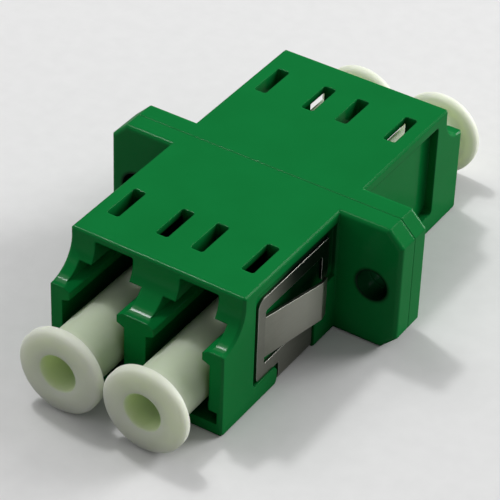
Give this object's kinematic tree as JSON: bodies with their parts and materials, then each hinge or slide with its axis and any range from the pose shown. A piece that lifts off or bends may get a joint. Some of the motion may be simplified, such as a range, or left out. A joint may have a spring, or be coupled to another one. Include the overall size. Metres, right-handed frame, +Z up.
{
  "type": "fibre optic adapter",
  "caption": "Flanged fibre optic adapter with side by side ports at both ends, a folded steel panel clip and pull-off dust caps.",
  "frame": {"origin": "centre of the flat underside, on the plane where the two moulded halves meet", "axes": "+X across the ports and through both screw ears, +Y along the plugs towards the end without the clip, +Z up through the wall with the latch windows"},
  "size_m": [0.022, 0.0366, 0.0093],
  "materials": {
    "housing": "satin moulded, green",
    "sleeve": "ground",
    "clip": "rolled sheet",
    "cap": "natural, slightly translucent"
  },
  "bodies": {
    "adapter": {"front_housing": "housing", "rear_housing": "housing", "split_sleeve_left": "sleeve", "split_sleeve_right": "sleeve", "panel_clip": "clip"},
    "cap_front_left": {"dust_cap_front_left": "cap"},
    "cap_front_right": {"dust_cap_front_right": "cap"},
    "cap_rear_left": {"dust_cap_rear_left": "cap"},
    "cap_rear_right": {"dust_cap_rear_right": "cap"}
  },
  "joints": [
    {"name": "front_left_cap_pull", "type": "slide", "parent": "adapter", "child": "cap_front_left", "axis": [0, -1, 0], "range_m": [0, 0.01]},
    {"name": "front_right_cap_pull", "type": "slide", "parent": "adapter", "child": "cap_front_right", "axis": [0, -1, 0], "range_m": [0, 0.01]},
    {"name": "rear_left_cap_pull", "type": "slide", "parent": "adapter", "child": "cap_rear_left", "axis": [0, 1, 0], "range_m": [0, 0.01]},
    {"name": "rear_right_cap_pull", "type": "slide", "parent": "adapter", "child": "cap_rear_right", "axis": [0, 1, 0], "range_m": [0, 0.01]}
  ]
}
